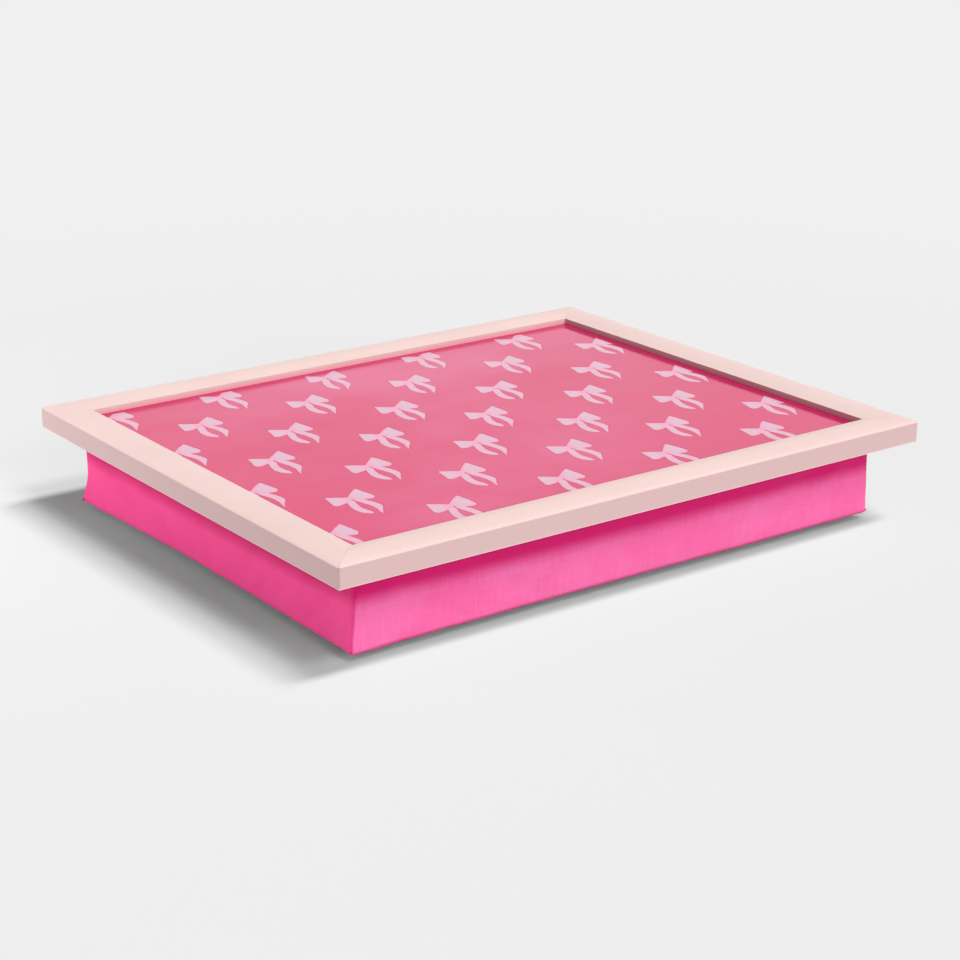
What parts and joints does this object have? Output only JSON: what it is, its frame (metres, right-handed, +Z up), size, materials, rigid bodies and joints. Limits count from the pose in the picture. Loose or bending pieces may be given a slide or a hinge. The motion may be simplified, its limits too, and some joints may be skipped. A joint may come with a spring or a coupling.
{
  "type": "lap tray with cushion",
  "caption": "Lap tray: a mitred wooden frame around a recessed printed board, on a bead-filled fabric cushion that is stapled underneath.",
  "frame": {"origin": "on the surface that the cushion rests on, under the centre of the tray", "axes": "+X along the long side, +Y from the front long rail to the back long rail, +Z up"},
  "size_m": [0.44, 0.36, 0.0705],
  "materials": {
    "frame_paint": "satin",
    "printed_sheet": "gloss",
    "board": "matte",
    "steel": "satin",
    "cover_fabric": "matte",
    "bag_liner": "matte",
    "bead_fill": "matte"
  },
  "bodies": {
    "root": {"frame_rail_front": "frame_paint", "frame_rail_back": "frame_paint", "frame_rail_left": "frame_paint", "frame_rail_right": "frame_paint", "corner_v_nails": "steel", "print_laminate": "printed_sheet", "tray_board": "board", "board_points": "steel", "cover_wall_front": "cover_fabric", "cover_wall_back": "cover_fabric", "cover_wall_left": "cover_fabric", "cover_wall_right": "cover_fabric", "cover_base": "cover_fabric", "cover_staples": "steel", "bead_bag": "bag_liner", "bead_filling": "bead_fill"}
  },
  "joints": []
}
